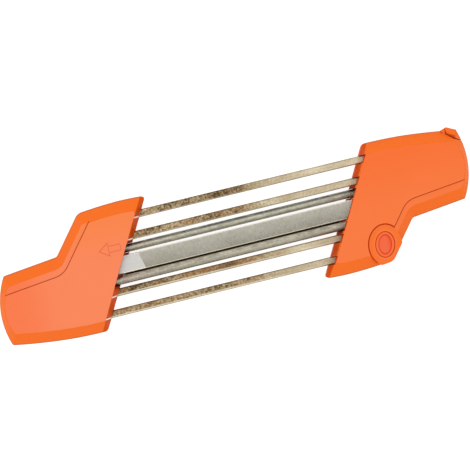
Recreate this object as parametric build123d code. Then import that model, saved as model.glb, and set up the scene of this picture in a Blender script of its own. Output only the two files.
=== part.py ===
"""A two-handled guide that holds two round files and a flat file for saw chains.

Millimetres. X runs along the files to the right, Y across them and Z up, out of the front face.
The origin is in the middle of the tool, on the plane that its rear faces lie on.
Both handles are one form: the left one is the right one turned half a turn about Z.
The right handle has a cover that swings aside, so that the files can be changed.
"""

import math
import os

from build123d import *

# Handle form, seen from the front: each reach is taken from the comb's face at mid-width
handle_thickness = 26.0
edge_band_height = 8.0
comb_slant_deg = 29.0
comb_foot_y = -40.7
shoulder_reach = 23.5
shoulder_y = -39.65
waist_reach = 43.3
waist_y = -15.2
grip_low_reach = 80.0
grip_low_y = -11.2
grip_high_reach = 84.7
grip_high_y = 34.3
far_edge_y = 40.0
boss_edge_bow = 1.2
end_bow = 5.1
far_edge_bow = 1.6

# Bevels from the upright edge band to the front and rear faces
boss_edge_bevel = 8.3
flank_bevel = 6.4
waist_bevel = 8.2
end_bevel = 3.5
far_edge_bevel = 7.4
comb_bevel = 3.3

# Corner radii of the outline
comb_foot_radius = 1.7
shoulder_radius = 6.6
waist_radius = 3.0
grip_low_radius = 1.5
grip_high_radius = 2.0
comb_head_radius = 3.3
least_face_radius = 1.2

# Edges eased round both faces and along the upright band
face_edge_radius = 1.0
band_edge_radius = 1.2
height_margin = 0.01
trim_margin = 0.05

# Styling step on each face
step_depth = 0.5
step_flank_width = 9.6
step_waist_width = 12.5
step_radius = 14.0
step_groove_width = 0.5
ring_groove_width = 0.8
groove_depth = 0.7

# Shells
wall = 2.2
comb_depth = 10.0
parting_z = 13.0
tray_top_z = 19.1
tray_web = 1.9
cover_gap = 0.2
overrun = 5.0

# Guide rods
rod_width = 5.0
rod_thickness = 3.0
rod_edge_radius = 0.9
outer_rod_y = 30.2
inner_rod_y = 17.1
rod_embed = 10.0
rod_pin_inset = 6.0
rod_clearance = 0.1
rod_recess_depth = 1.4
rod_recess_margin = 0.3
rod_recess_below = 1.5
rod_recess_height = 5.0
pin_radius = 1.0
pin_length = 11.0
pin_clearance = 0.05

# Files
file_length = 200.0
file_hold = 26.3
round_file_radius = 2.75
round_file_y = 9.8
round_file_offset_z = 3.15
flat_file_width = 11.5
flat_file_thickness = 4.3
flat_file_edge_radius = 0.3
file_end_chamfer = 0.5
file_side_clearance = 0.2

# File seats behind the comb
seat_hold = 6.0
seat_depth = 9.5
seat_side_wall = 1.45
seat_clearance = 0.1
seat_bore_clearance = 0.1
file_end_gap = 0.3
cradle_top_z = 17.0
saddle_top_gap = 0.1
prong_clearance = 0.15

# Shell screws, each with its reach and its y
screw_reaches = [(3.3, -24.0), (38.3, 26.0), (73.3, 12.0), (48.3, 2.5)]
screw_shank_radius = 1.45
screw_hole_radius = 1.6
screw_pilot_radius = 1.5
screw_head_radius = 2.8
screw_head_height = 2.0
screw_counterbore_radius = 3.0
screw_counterbore_depth = 3.2
screw_boss_radius = 3.6
screw_end_z = 17.6
screw_tip_gap = 0.6
cross_slot_width = 0.8
cross_slot_length_share = 0.62
cross_slot_depth_share = 0.6

# Pivot of the swing cover
pivot_reach = 20.5
pivot_y = -27.7
sleeve_radius = 4.0
sleeve_running_clearance = 0.05
sleeve_end_play = 0.2
cover_web = 2.3
pivot_shank_radius = 1.8
pivot_hole_radius = 1.9
washer_radius = 5.5
washer_thickness = 0.7
washer_well_radius = 5.9
pivot_head_radius = 3.2
pivot_head_height = 1.5
pivot_screw_end_z = 14.5
ring_half_x = 11.4
ring_half_y = 13.8
ring_edge_radius = 1.2
oval_lean_deg = 13.7
cap_half_x = 6.2
cap_half_y = 8.3
cap_clearance = 0.05
cap_bottom_z = 24.2
cap_groove_width = 0.4
cap_groove_depth = 0.6
cap_rim = 2.0
cap_dish = 0.4
cap_drop = 0.2

# Release catch, placed from the outline's far corner
catch_corner_depth = 6.1
catch_gap = 0.3
catch_side_back = 7.6
catch_floor_back = 3.8
catch_floor_down = 4.9
catch_floor_out = 1.1
catch_floor_out_down = 7.3
catch_proud = 2.4
catch_ramp_back = 10.7
catch_ramp_up = 1.6
catch_peak_back = 6.1
catch_peak_up = 3.3
catch_slope_z = 20.0
catch_slope_share = 0.4
catch_travel = 2.0
catch_plate_thickness = 2.0
catch_plate_gap = 0.1
catch_stem_back = 10.2
catch_stem_down = 7.1
catch_arm_width = 5.0
catch_pad_radius = 2.4
catch_window_gap = 0.3
catch_pad_gap = 0.1
catch_stem_radius = 1.42
catch_guide_bore_radius = 1.5
catch_guide_radius = 2.5
catch_guide_top_z = 9.0
catch_stem_foot_gap = 0.4
spring_seat_z = 6.0
spring_seat_radius = 3.8
spring_wire_radius = 0.35
spring_mean_radius = 3.1
spring_turns = 6

# Sizes worked out from those above
half_thickness = handle_thickness / 2
band_low_z = half_thickness - edge_band_height / 2
band_high_z = half_thickness + edge_band_height / 2
cover_bottom_z = tray_top_z + cover_gap
comb_tangent = math.tan(math.radians(comb_slant_deg))
comb_reach = file_length / 2 - file_hold
shoulder_x = comb_reach + shoulder_reach
waist_x = comb_reach + waist_reach
grip_low_x = comb_reach + grip_low_reach
grip_high_x = comb_reach + grip_high_reach
outline_bevels = (boss_edge_bevel, flank_bevel, waist_bevel, end_bevel, far_edge_bevel, comb_bevel)
outline_bows = (boss_edge_bow, 0, 0, end_bow, far_edge_bow, 0)
outline_radii = (
    comb_foot_radius,
    shoulder_radius,
    waist_radius,
    grip_low_radius,
    grip_high_radius,
    comb_head_radius,
)
outline_hollows = (False, False, True, False, False, False)
rod_ys = (outer_rod_y, inner_rod_y, -inner_rod_y, -outer_rod_y)
low_file_z = half_thickness - round_file_offset_z
high_file_z = half_thickness + round_file_offset_z
seat_x = file_length / 2 - seat_hold
seat_half_width = round_file_y + round_file_radius + seat_side_wall
screw_places = [(comb_reach + reach, y) for reach, y in screw_reaches]
pivot_x = comb_reach + pivot_reach
catch_arc_radius = math.hypot(grip_high_x - pivot_x, grip_high_y - pivot_y) - catch_corner_depth
catch_floor_x = grip_high_x - catch_floor_back
catch_floor_y = grip_high_y - catch_floor_down
catch_floor_out_x = grip_high_x + catch_floor_out
catch_floor_out_y = grip_high_y - catch_floor_out_down
catch_side_x = grip_high_x - catch_side_back
catch_stem_x = grip_high_x - catch_stem_back
catch_stem_y = grip_high_y - catch_stem_down
catch_stem_end_z = wall + catch_travel + catch_stem_foot_gap


def comb_x(y):
    """X of the comb wall of the right handle at a height y."""
    return comb_reach + y * comb_tangent


def outline_corners():
    """Sharp corners of the right handle's outline, anticlockwise from the foot of the comb."""
    return [
        (comb_x(comb_foot_y), comb_foot_y),
        (shoulder_x, shoulder_y),
        (waist_x, waist_y),
        (grip_low_x, grip_low_y),
        (grip_high_x, grip_high_y),
        (comb_x(far_edge_y), far_edge_y),
    ]


def inset_corners(insets):
    """The corners once each side has moved inwards by its own inset."""
    corners = outline_corners()
    count = len(corners)
    lines = []
    for i in range(count):
        start, end = Vector(*corners[i]), Vector(*corners[(i + 1) % count])
        along = (end - start).normalized()
        inward = Vector(-along.Y, along.X)
        lines.append((start + inward * insets[i], along))
    moved = []
    for i in range(count):
        (before, along_before), (after, along_after) = lines[i - 1], lines[i]
        cross = along_before.X * along_after.Y - along_before.Y * along_after.X
        gap = after - before
        reach = (gap.X * along_after.Y - gap.Y * along_after.X) / cross
        moved.append(before + along_before * reach)
    return moved


def outline_face(insets, radii, z):
    """The outline at height z as a face, each side drawn in by its inset, with rounded corners."""
    corners = inset_corners(insets)
    count = len(corners)
    edges = []
    for i in range(count):
        start, end = corners[i], corners[(i + 1) % count]
        if outline_bows[i]:
            along = (end - start).normalized()
            middle = (start + end) / 2 + Vector(along.Y, -along.X) * outline_bows[i]
            edges.append(Edge.make_three_point_arc(start, middle, end))
        else:
            edges.append(Edge.make_line(start, end))
    face = Face(Wire(edges))
    for corner, radius in zip(corners, radii):
        nearest = min(face.vertices(), key=lambda vertex: (vertex.center() - corner).length)
        face = face.fillet_2d(radius, [nearest])
    return Pos(0, 0, z) * face


def face_radii(insets):
    """Corner radii after an inset: smaller on outer corners and larger in the waist."""
    radii = []
    for i, (radius, hollow) in enumerate(zip(outline_radii, outline_hollows)):
        inset = min(insets[i - 1], insets[i])
        if hollow:
            radii.append(radius + inset)
        else:
            radii.append(max(radius - inset, least_face_radius))
    return radii


def prism(face, bottom_z, top_z):
    """A face at height zero, extruded from bottom_z to top_z."""
    return Pos(0, 0, bottom_z) * extrude(face, amount=top_z - bottom_z)


def handle_form(grow=0, drop=0, comb_inset=0):
    """The whole right handle as one solid: upright band, with a bevel to each face.

    grow moves every side outwards, drop lowers both faces, comb_inset draws in the comb wall alone.
    """
    sides = [-grow] * len(outline_bevels)
    sides[-1] += comb_inset
    at_face = [side + bevel for side, bevel in zip(sides, outline_bevels)]
    band = outline_face(sides, face_radii(sides), 0)
    form = prism(band, band_low_z, band_high_z)
    for z_band, z_face in ((band_high_z, handle_thickness - drop), (band_low_z, drop)):
        low = outline_face(sides, face_radii(sides), z_band)
        high = outline_face(at_face, face_radii(at_face), z_face)
        form += Solid.make_loft([low.outer_wire(), high.outer_wire()], ruled=True)
    return form


def eased_form(grow=0):
    """The handle form with its long edges rounded over, all but the crisp edges of the comb."""
    form = handle_form(grow, comb_inset=-overrun)
    for z, radius in (
        (handle_thickness, face_edge_radius),
        (band_high_z, band_edge_radius),
        (band_low_z, band_edge_radius),
        (0, face_edge_radius),
    ):
        edges = form.edges().filter_by_position(Axis.Z, z - height_margin, z + height_margin)
        form = fillet(edges, radius)
    return form & handle_form(grow + trim_margin, drop=-trim_margin, comb_inset=trim_margin)


def slab(bottom_z, top_z):
    """Everything between two heights."""
    reach = grip_high_x * 2
    return Pos(0, 0, (bottom_z + top_z) / 2) * Box(reach * 2, reach, top_z - bottom_z)


def strip(low_y, high_y, bottom_z, top_z, low_x=None, high_x=None):
    """A block across a stretch of y and z, as long as the handle unless x limits are given."""
    low_x = 0 if low_x is None else low_x
    high_x = grip_high_x * 2 if high_x is None else high_x
    size = Box(high_x - low_x, high_y - low_y, top_z - bottom_z)
    return Pos((low_x + high_x) / 2, (low_y + high_y) / 2, (bottom_z + top_z) / 2) * size


def round_bar(radius, low_x, high_x, y, z):
    """A round bar along X."""
    bar = Cylinder(radius, high_x - low_x, align=(Align.CENTER, Align.CENTER, Align.MIN))
    return Pos(low_x, y, z) * Rot(0, 90, 0) * bar


def post(x, y, radius, bottom_z, top_z):
    """A round post along Z."""
    bar = Cylinder(radius, top_z - bottom_z, align=(Align.CENTER, Align.CENTER, Align.MIN))
    return Pos(x, y, bottom_z) * bar


def raised_zone(bottom_z, top_z, grow=0):
    """What stays at full height inside the styling step of a face. grow widens it across the step."""
    flank, waist = step_flank_width - grow, step_waist_width - grow
    corners = inset_corners([-overrun, flank, waist, -overrun, -overrun, -overrun])
    turn = corners[outline_hollows.index(True)]
    zone = Face(Wire.make_polygon(corners, close=True))
    nearest = min(zone.vertices(), key=lambda vertex: (vertex.center() - turn).length)
    return prism(zone.fillet_2d(step_radius - grow, [nearest]), bottom_z, top_z)


def oval(half_x, half_y, bottom_z, top_z):
    """An oval column at the pivot, leaning as the boss's rings do."""
    column = extrude(Ellipse(half_x, half_y), amount=top_z - bottom_z)
    return Pos(pivot_x, pivot_y, bottom_z) * Rot(0, 0, -oval_lean_deg) * column


def boss_column(bottom_z, top_z):
    """The boss as an upright column, kept inside the outline."""
    sides = [0] * len(outline_bevels)
    return oval(ring_half_x, ring_half_y, bottom_z, top_z) & prism(
        outline_face(sides, outline_radii, 0), bottom_z, top_z
    )


def face_step(front, with_ring=False):
    """The sunk zone of one face: along flank and waist, and round the pivot where asked."""
    if front:
        bottom_z, top_z = handle_thickness - step_depth, handle_thickness
    else:
        bottom_z, top_z = 0, step_depth
    sunk = slab(bottom_z, top_z) - raised_zone(bottom_z, top_z)
    sunk &= strip(shoulder_y - overrun, grip_high_y, bottom_z, top_z)
    if with_ring:
        sunk += oval(ring_half_x, ring_half_y, bottom_z, top_z)
    return sunk


def face_grooves(front, with_ring=False):
    """The narrow groove at the foot of the step, and round the boss where asked."""
    if front:
        bottom_z, top_z = handle_thickness - step_depth - groove_depth, handle_thickness
    else:
        bottom_z, top_z = 0, step_depth + groove_depth
    outer = raised_zone(bottom_z, top_z, step_groove_width)
    inner = raised_zone(bottom_z, top_z)
    if with_ring:
        half_x, half_y = ring_half_x - ring_groove_width, ring_half_y - ring_groove_width
        outer -= oval(half_x, half_y, bottom_z, top_z)
        inner -= oval(ring_half_x, ring_half_y, bottom_z, top_z)
    return outer - inner


def file_seats(turned):
    """Round file centres (y, z) as one handle sees them: the left handle is turned half a turn."""
    side = -1 if turned else 1
    return [(side * round_file_y, low_file_z), (-side * round_file_y, high_file_z)]


def comb_layer(depth):
    """Everything in front of the comb's slant, down to a depth behind its upright band."""
    back_shift = depth / math.cos(math.radians(comb_slant_deg))
    sweep = comb_tangent * far_edge_y
    low_y, high_y = -far_edge_y, far_edge_y
    layer = Polygon(
        (comb_reach - sweep - overrun, low_y),
        (comb_reach - sweep + back_shift, low_y),
        (comb_reach + sweep + back_shift, high_y),
        (comb_reach + sweep - overrun, high_y),
        align=None,
    )
    return prism(layer, 0, handle_thickness)


def comb_pockets(turned):
    """Notches that take the comb wall back to the face edge where a file or an open rod passes."""
    wedge = comb_layer(comb_bevel)
    half_flat = flat_file_width / 2 + file_side_clearance
    half_round = round_file_radius + file_side_clearance
    pockets = wedge & strip(-half_flat, half_flat, 0, handle_thickness)
    for y, z in file_seats(turned):
        low_z, high_z = (0, z) if z < half_thickness else (z, handle_thickness)
        pockets += wedge & strip(y - half_round, y + half_round, low_z, high_z)
        pockets += wedge & strip(y - half_round, y + half_round, half_thickness, handle_thickness)
    recess = comb_layer(rod_recess_depth)
    half_rod = rod_width / 2 + rod_clearance
    for y in rod_ys:
        if turned:
            low_y, high_y = y - half_rod - rod_recess_margin, y + half_rod + rod_recess_below
            low_z, high_z = half_thickness - rod_recess_height / 2, half_thickness + rod_recess_height
            pockets += recess & strip(low_y, high_y, low_z, high_z)
        else:
            pockets += wedge & strip(y - half_rod, y + half_rod, half_thickness, handle_thickness)
    return pockets


def file_channels(turned, end_x, top_z):
    """Channels for the files through the comb to end_x, open at the parting plane or up to top_z."""
    half_flat = flat_file_width / 2 + file_side_clearance
    half_round = round_file_radius + file_side_clearance
    flat_low = half_thickness - flat_file_thickness / 2 - file_side_clearance
    flat_high = half_thickness + flat_file_thickness / 2 + file_side_clearance
    channels = strip(-half_flat, half_flat, flat_low, max(flat_high, top_z), 0, end_x)
    for y, z in file_seats(turned):
        channels += round_bar(half_round, 0, end_x, y, z)
        if z < half_thickness:
            channels += strip(y - half_round, y + half_round, z, max(parting_z, top_z), 0, end_x)
        else:
            channels += strip(y - half_round, y + half_round, parting_z, z, 0, end_x)
            if top_z > z:
                channels += strip(y - half_round, y + half_round, z, top_z, 0, end_x)
    return channels


def rod_pin(y, clearance=0):
    """The dowel pin through the right end of the guide rod at y, or its hole with a clearance."""
    low_z, high_z = half_thickness - pin_length / 2, half_thickness + pin_length / 2
    return post(comb_x(y) + rod_pin_inset, y, pin_radius + clearance, low_z, high_z)


def rod_grooves():
    """Slots for the ends of the guide rods, with the holes for their dowel pins."""
    half_width = rod_width / 2 + rod_clearance
    half_height = rod_thickness / 2 + rod_clearance
    grooves = None
    for y in rod_ys:
        end_x = comb_x(y) + rod_embed + rod_clearance
        low_z, high_z = half_thickness - half_height, half_thickness + half_height
        groove = strip(y - half_width, y + half_width, low_z, high_z, 0, end_x)
        groove += rod_pin(y, pin_clearance)
        grooves = groove if grooves is None else grooves + groove
    return grooves


def seat_room(bottom_z, top_z):
    """Room for the file seat block behind the comb."""
    half_width = seat_half_width + seat_clearance
    low_x, high_x = seat_x - seat_clearance, seat_x + seat_depth + seat_clearance
    return strip(-half_width, half_width, bottom_z, top_z, low_x, high_x)


def screw_posts(radius, bottom_z, top_z):
    """One round post at each shell screw."""
    posts = None
    for x, y in screw_places:
        one = post(x, y, radius, bottom_z, top_z)
        posts = one if posts is None else posts + one
    return posts


def screw_holes():
    """Head recess, clearance hole and pilot hole of each shell screw."""
    holes = screw_posts(screw_counterbore_radius, 0, screw_counterbore_depth)
    holes += screw_posts(screw_hole_radius, 0, parting_z)
    holes += screw_posts(screw_pilot_radius, parting_z, screw_end_z + screw_tip_gap)
    return holes


def cavity():
    """The hollow of a handle, behind the thick comb wall."""
    return handle_form(grow=-wall, drop=wall, comb_inset=comb_depth - wall)


def rear_shell(turned):
    """Rear half of a handle, up to the parting plane."""
    form = eased_form() & slab(0, parting_z)
    shell = form - cavity() + (screw_posts(screw_boss_radius, wall, parting_z) & form)
    shell = shell - face_step(front=False) - face_grooves(front=False)
    shell = shell - screw_holes() - rod_grooves() - comb_pockets(turned)
    return shell - file_channels(turned, seat_x, parting_z) - seat_room(wall, handle_thickness)


def left_front_shell():
    """Front half of the left handle, in the right handle's frame."""
    form = eased_form() & slab(parting_z, handle_thickness)
    shell = form - cavity() + screw_posts(screw_boss_radius, parting_z, handle_thickness - wall)
    shell = shell - face_step(front=True) - face_grooves(front=True)
    shell = shell - screw_holes() - rod_grooves() - comb_pockets(True)
    return shell - file_channels(True, seat_x, parting_z) - seat_room(parting_z, handle_thickness - wall)


def catch_zone(gap, bottom_z, top_z):
    """The corner outside the cover's swing arc, above the floor of the catch. gap shrinks the zone."""
    reach = grip_high_x
    floor_angle = math.atan2(catch_floor_out_y - catch_floor_y, catch_floor_out_x - catch_floor_x)
    corner = Box(reach, reach, top_z - bottom_z, align=(Align.CENTER, Align.MIN, Align.MIN))
    floor = Pos(catch_floor_x, catch_floor_y, bottom_z) * Rot(0, 0, math.degrees(floor_angle))
    zone = floor * Pos(0, gap, 0) * corner
    return zone - post(pivot_x, pivot_y, catch_arc_radius + gap, bottom_z, top_z)


def catch_seat(gap, bottom_z, top_z):
    """The part of that corner which the catch fills, up to its near side wall."""
    side = strip(0, far_edge_y + overrun, bottom_z, top_z, catch_side_x + gap)
    return catch_zone(gap, bottom_z, top_z) & side


def catch_bump(bottom_z, top_z):
    """Thumb bump on the far edge: a ramp up to a peak and back to the corner."""
    peak = (grip_high_x - catch_peak_back, grip_high_y + catch_peak_up)
    ramp = (grip_high_x - catch_ramp_back, grip_high_y + catch_ramp_up)
    heel = (catch_floor_x, catch_floor_y)
    corner = (grip_high_x, grip_high_y)
    plan = Polygon(ramp, heel, corner, peak, align=None)
    return eased_form(catch_proud) & prism(plan, bottom_z, top_z)


def catch_arm(gap, bottom_z, top_z):
    """The arm from the corner head to the stem, under the cover. gap widens it."""
    across = math.atan2(grip_high_y - catch_stem_y, grip_high_x - catch_stem_x)
    length = math.hypot(catch_floor_x - catch_stem_x, far_edge_y - catch_stem_y) / 2
    along_arm = (Align.MIN, Align.CENTER, Align.MIN)
    bar = Box(length + gap, catch_arm_width + gap * 2, top_z - bottom_z, align=along_arm)
    arm = Pos(catch_stem_x, catch_stem_y, bottom_z) * Rot(0, 0, math.degrees(across)) * bar
    return arm + post(catch_stem_x, catch_stem_y, catch_arm_width / 2 + gap, bottom_z, top_z)


def right_tray():
    """Middle piece of the right handle: it clamps the rods and closes the rear shell."""
    form = eased_form() & slab(parting_z, tray_top_z)
    hollow = cavity() & slab(parting_z, tray_top_z - tray_web)
    tray = form - hollow + boss_column(parting_z, tray_top_z)
    tray += screw_posts(screw_boss_radius, parting_z, tray_top_z)
    tray = tray - screw_holes() - rod_grooves() - comb_pockets(False)
    tray = tray - file_channels(False, seat_x, tray_top_z + overrun) - seat_room(parting_z, tray_top_z)
    mouth_half_width = round_file_y + round_file_radius + file_side_clearance
    tray -= strip(-mouth_half_width, mouth_half_width, parting_z, tray_top_z, 0, seat_x)
    tray -= post(pivot_x, pivot_y, pivot_hole_radius, pivot_screw_end_z - screw_tip_gap, tray_top_z)
    tray += catch_bump(parting_z, tray_top_z) - cavity()
    tray -= catch_seat(0, parting_z, tray_top_z)
    tray -= catch_arm(catch_window_gap, parting_z, tray_top_z - tray_web)
    tray -= post(catch_stem_x, catch_stem_y, catch_pad_radius + catch_window_gap, parting_z, tray_top_z)
    return tray


def right_rear_shell():
    """Rear shell of the right handle, with the guide of the catch."""
    shell = rear_shell(False)
    shell += post(catch_stem_x, catch_stem_y, spring_seat_radius, wall, spring_seat_z)
    shell += post(catch_stem_x, catch_stem_y, catch_guide_radius, spring_seat_z, catch_guide_top_z)
    return shell - post(catch_stem_x, catch_stem_y, catch_guide_bore_radius, wall, catch_guide_top_z)


def right_swing_cover():
    """Front of the right handle, which turns about the pivot sleeve."""
    form = eased_form() & slab(cover_bottom_z, handle_thickness)
    cover = form - (cavity() & slab(cover_bottom_z, handle_thickness - wall))
    boss = boss_column(cover_bottom_z, handle_thickness - step_depth)
    rim = boss.edges().filter_by_position(Axis.Z, handle_thickness - step_depth, handle_thickness)
    cover += fillet(rim, ring_edge_radius)
    cover = cover - face_step(front=True, with_ring=True) - face_grooves(front=True, with_ring=True)
    cover -= comb_pockets(False)
    cover -= catch_zone(-catch_gap, cover_bottom_z, handle_thickness)
    web_top_z = cover_bottom_z + cover_web
    bore_radius = sleeve_radius + sleeve_running_clearance
    cover -= post(pivot_x, pivot_y, bore_radius, cover_bottom_z, handle_thickness)
    cover -= post(pivot_x, pivot_y, washer_well_radius, web_top_z, handle_thickness)
    cover -= oval(cap_half_x, cap_half_y, cap_bottom_z, handle_thickness)
    groove_x, groove_y = cap_half_x + cap_groove_width, cap_half_y + cap_groove_width
    groove_z = handle_thickness - step_depth - cap_groove_depth
    return cover - oval(groove_x, groove_y, groove_z, handle_thickness)


def pivot_sleeve():
    """Steel sleeve on the post, a little longer than the cover's web is thick."""
    top_z = cover_bottom_z + cover_web + sleeve_end_play
    sleeve = post(pivot_x, pivot_y, sleeve_radius, tray_top_z, top_z)
    return sleeve - post(pivot_x, pivot_y, pivot_hole_radius, tray_top_z, top_z)


def pivot_washer():
    """Washer that keeps the cover on the sleeve."""
    bottom_z = cover_bottom_z + cover_web + sleeve_end_play
    washer = post(pivot_x, pivot_y, washer_radius, bottom_z, bottom_z + washer_thickness)
    return washer - post(pivot_x, pivot_y, pivot_hole_radius, bottom_z, bottom_z + washer_thickness)


def cross_slot(x, y, head_radius, head_height, outer_z, inward):
    """A cross recess in a screw head whose outer face is at outer_z."""
    length = head_radius * 2 * cross_slot_length_share
    depth = head_height * cross_slot_depth_share
    bar = Box(length, cross_slot_width, depth)
    cross = bar + Rot(0, 0, 90) * bar
    return Pos(x, y, outer_z + inward * depth / 2) * cross


def pivot_screw():
    """Screw through washer and sleeve into the post."""
    head_z = cover_bottom_z + cover_web + sleeve_end_play + washer_thickness
    screw = post(pivot_x, pivot_y, pivot_head_radius, head_z, head_z + pivot_head_height)
    top_z = head_z + pivot_head_height
    screw -= cross_slot(pivot_x, pivot_y, pivot_head_radius, pivot_head_height, top_z, -1)
    return screw + post(pivot_x, pivot_y, pivot_shank_radius, pivot_screw_end_z, head_z)


def pivot_cap():
    """Oval plug over the pivot screw, with a shallow dish."""
    top_z = handle_thickness - step_depth - cap_drop
    cap = oval(cap_half_x - cap_clearance, cap_half_y - cap_clearance, cap_bottom_z, top_z)
    return cap - oval(cap_half_x - cap_rim, cap_half_y - cap_rim, top_z - cap_dish, top_z)


def release_catch():
    """Corner catch: thumb head, arm with a pad against the cover, and a stem in its guide."""
    plate_top_z = tray_top_z - tray_web - catch_plate_gap
    plate_bottom_z = plate_top_z - catch_plate_thickness
    head = eased_form() & slab(plate_bottom_z, handle_thickness)
    head += catch_bump(plate_bottom_z, handle_thickness)
    head = head & catch_seat(catch_gap, plate_bottom_z, handle_thickness)
    slope_height = handle_thickness - catch_slope_z
    low_radius = catch_arc_radius + catch_gap
    high_radius = low_radius + slope_height * catch_slope_share
    upright = (Align.CENTER, Align.CENTER, Align.MIN)
    slope = Cone(low_radius, high_radius, slope_height, align=upright)
    head -= Pos(pivot_x, pivot_y, catch_slope_z) * slope
    catch = head + catch_arm(0, plate_bottom_z, plate_top_z)
    pad_top_z = cover_bottom_z - catch_pad_gap
    catch += post(catch_stem_x, catch_stem_y, catch_pad_radius, plate_bottom_z, pad_top_z)
    return catch + post(catch_stem_x, catch_stem_y, catch_stem_radius, catch_stem_end_z, plate_bottom_z)


def catch_spring():
    """Coil spring round the guide, between its seat in the shell and the catch's arm."""
    bottom_z = spring_seat_z + spring_wire_radius
    top_z = tray_top_z - tray_web - catch_plate_gap - catch_plate_thickness - spring_wire_radius
    height = top_z - bottom_z
    path = Helix(pitch=height / spring_turns, height=height, radius=spring_mean_radius)
    section = Plane(path @ 0, z_dir=path % 0) * Circle(spring_wire_radius)
    return Pos(catch_stem_x, catch_stem_y, bottom_z) * sweep(section, path=path)


def shell_screws(end_z):
    """The screws that hold a rear shell."""
    head_low_z = screw_counterbore_depth - screw_head_height
    screws = screw_posts(screw_shank_radius, screw_counterbore_depth, end_z)
    screws += screw_posts(screw_head_radius, head_low_z, screw_counterbore_depth)
    for x, y in screw_places:
        screws -= cross_slot(x, y, screw_head_radius, screw_head_height, head_low_z, 1)
    return screws


def rod_pins():
    """A dowel pin through the end of each guide rod."""
    pins = None
    for y in rod_ys:
        pin = rod_pin(y)
        pins = pin if pins is None else pins + pin
    return pins


def guide_rod(y):
    """A flat rod with rounded edges from handle to handle, with a pin hole near each end."""
    right_x = comb_x(y) + rod_embed
    left_x = -(comb_x(-y) + rod_embed)
    bar = Box(right_x - left_x, rod_width, rod_thickness)
    bar = fillet(bar.edges().filter_by(Axis.X), rod_edge_radius)
    rod = Pos((right_x + left_x) / 2, y, half_thickness) * bar
    for x in (comb_x(y) + rod_pin_inset, -(comb_x(-y) + rod_pin_inset)):
        rod -= post(x, y, pin_radius + pin_clearance, 0, handle_thickness)
    return rod


def round_file(y, z):
    """A round file with chamfered ends."""
    bar = round_bar(round_file_radius, -file_length / 2, file_length / 2, y, z)
    return chamfer(bar.edges().filter_by(GeomType.CIRCLE), file_end_chamfer)


def flat_file():
    """The flat file for the depth gauges."""
    bar = Box(file_length, flat_file_width, flat_file_thickness)
    bar = fillet(bar.edges().filter_by(Axis.X), flat_file_edge_radius)
    return Pos(0, 0, half_thickness) * bar


def seat_block(bottom_z, top_z):
    """Plain block that holds the ends of the three files."""
    return strip(-seat_half_width, seat_half_width, bottom_z, top_z, seat_x, seat_x + seat_depth)


def file_bores(turned, end_x, top_z=None):
    """The files' own shapes with a seat clearance, up to end_x, open upwards when top_z is given."""
    half_flat = flat_file_width / 2 + seat_bore_clearance
    half_round = round_file_radius + seat_bore_clearance
    flat_low = half_thickness - flat_file_thickness / 2 - seat_bore_clearance
    flat_high = half_thickness + flat_file_thickness / 2 + seat_bore_clearance
    bores = strip(-half_flat, half_flat, flat_low, top_z or flat_high, 0, end_x)
    for y, z in file_seats(turned):
        bores += round_bar(half_round, 0, end_x, y, z)
        if top_z:
            bores += strip(y - half_round, y + half_round, z, top_z, 0, end_x)
    return bores


def left_file_socket():
    """Seat block of the left handle: three blind sockets."""
    block = seat_block(wall + seat_clearance, handle_thickness - wall - seat_clearance)
    return block - file_bores(True, file_length / 2 + file_end_gap)


def right_file_cradle():
    """Seat block of the right handle: three troughs open to the front."""
    block = seat_block(wall + seat_clearance, cradle_top_z)
    return block - file_bores(False, file_length / 2 + file_end_gap, cradle_top_z)


def right_file_saddle():
    """Loose lid of the cradle, whose prongs keep the files down under the cover."""
    top_z = tray_top_z - saddle_top_gap
    saddle = seat_block(cradle_top_z, top_z)
    end_x = file_length / 2 + file_end_gap - prong_clearance
    half_flat = flat_file_width / 2 + seat_bore_clearance - prong_clearance
    half_round = round_file_radius + seat_bore_clearance - prong_clearance
    flat_top_z = half_thickness + flat_file_thickness / 2 + prong_clearance
    saddle += strip(-half_flat, half_flat, flat_top_z, cradle_top_z, seat_x, end_x)
    low_top_z = low_file_z + round_file_radius + prong_clearance
    low_y, high_y = round_file_y - half_round, round_file_y + half_round
    saddle += strip(low_y, high_y, low_top_z, cradle_top_z, seat_x, end_x)
    clear_radius = round_file_radius + seat_bore_clearance
    low_y, high_y = -round_file_y - clear_radius, -round_file_y + clear_radius
    return saddle - strip(low_y, high_y, cradle_top_z, top_z, seat_x, end_x)


def left_side(shape):
    """Turns a shape of the right handle half a turn, to the left handle."""
    return Rot(0, 0, 180) * shape


def all_parts():
    """Every node of the tool by name."""
    parts = {
        "left_rear_shell": left_side(rear_shell(True)),
        "left_front_shell": left_side(left_front_shell()),
        "left_shell_screws": left_side(shell_screws(screw_end_z)),
        "left_file_socket": left_side(left_file_socket()),
        "left_rod_pins": left_side(rod_pins()),
        "right_rear_shell": right_rear_shell(),
        "right_tray": right_tray(),
        "right_shell_screws": shell_screws(screw_end_z),
        "right_file_cradle": right_file_cradle(),
        "right_file_saddle": right_file_saddle(),
        "right_rod_pins": rod_pins(),
        "right_swing_cover": right_swing_cover(),
        "pivot_sleeve": pivot_sleeve(),
        "pivot_washer": pivot_washer(),
        "pivot_screw": pivot_screw(),
        "pivot_cap": pivot_cap(),
        "release_catch": release_catch(),
        "catch_spring": catch_spring(),
        "upper_round_file": round_file(round_file_y, low_file_z),
        "lower_round_file": round_file(-round_file_y, high_file_z),
        "flat_file": flat_file(),
    }
    for name, y in zip(("upper_outer", "upper_inner", "lower_inner", "lower_outer"), rod_ys):
        parts[f"{name}_guide_rod"] = guide_rod(y)
    return parts


os.makedirs("parts", exist_ok=True)
for node, shape in all_parts().items():
    export_step(shape, f"parts/{node}.step")
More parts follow.
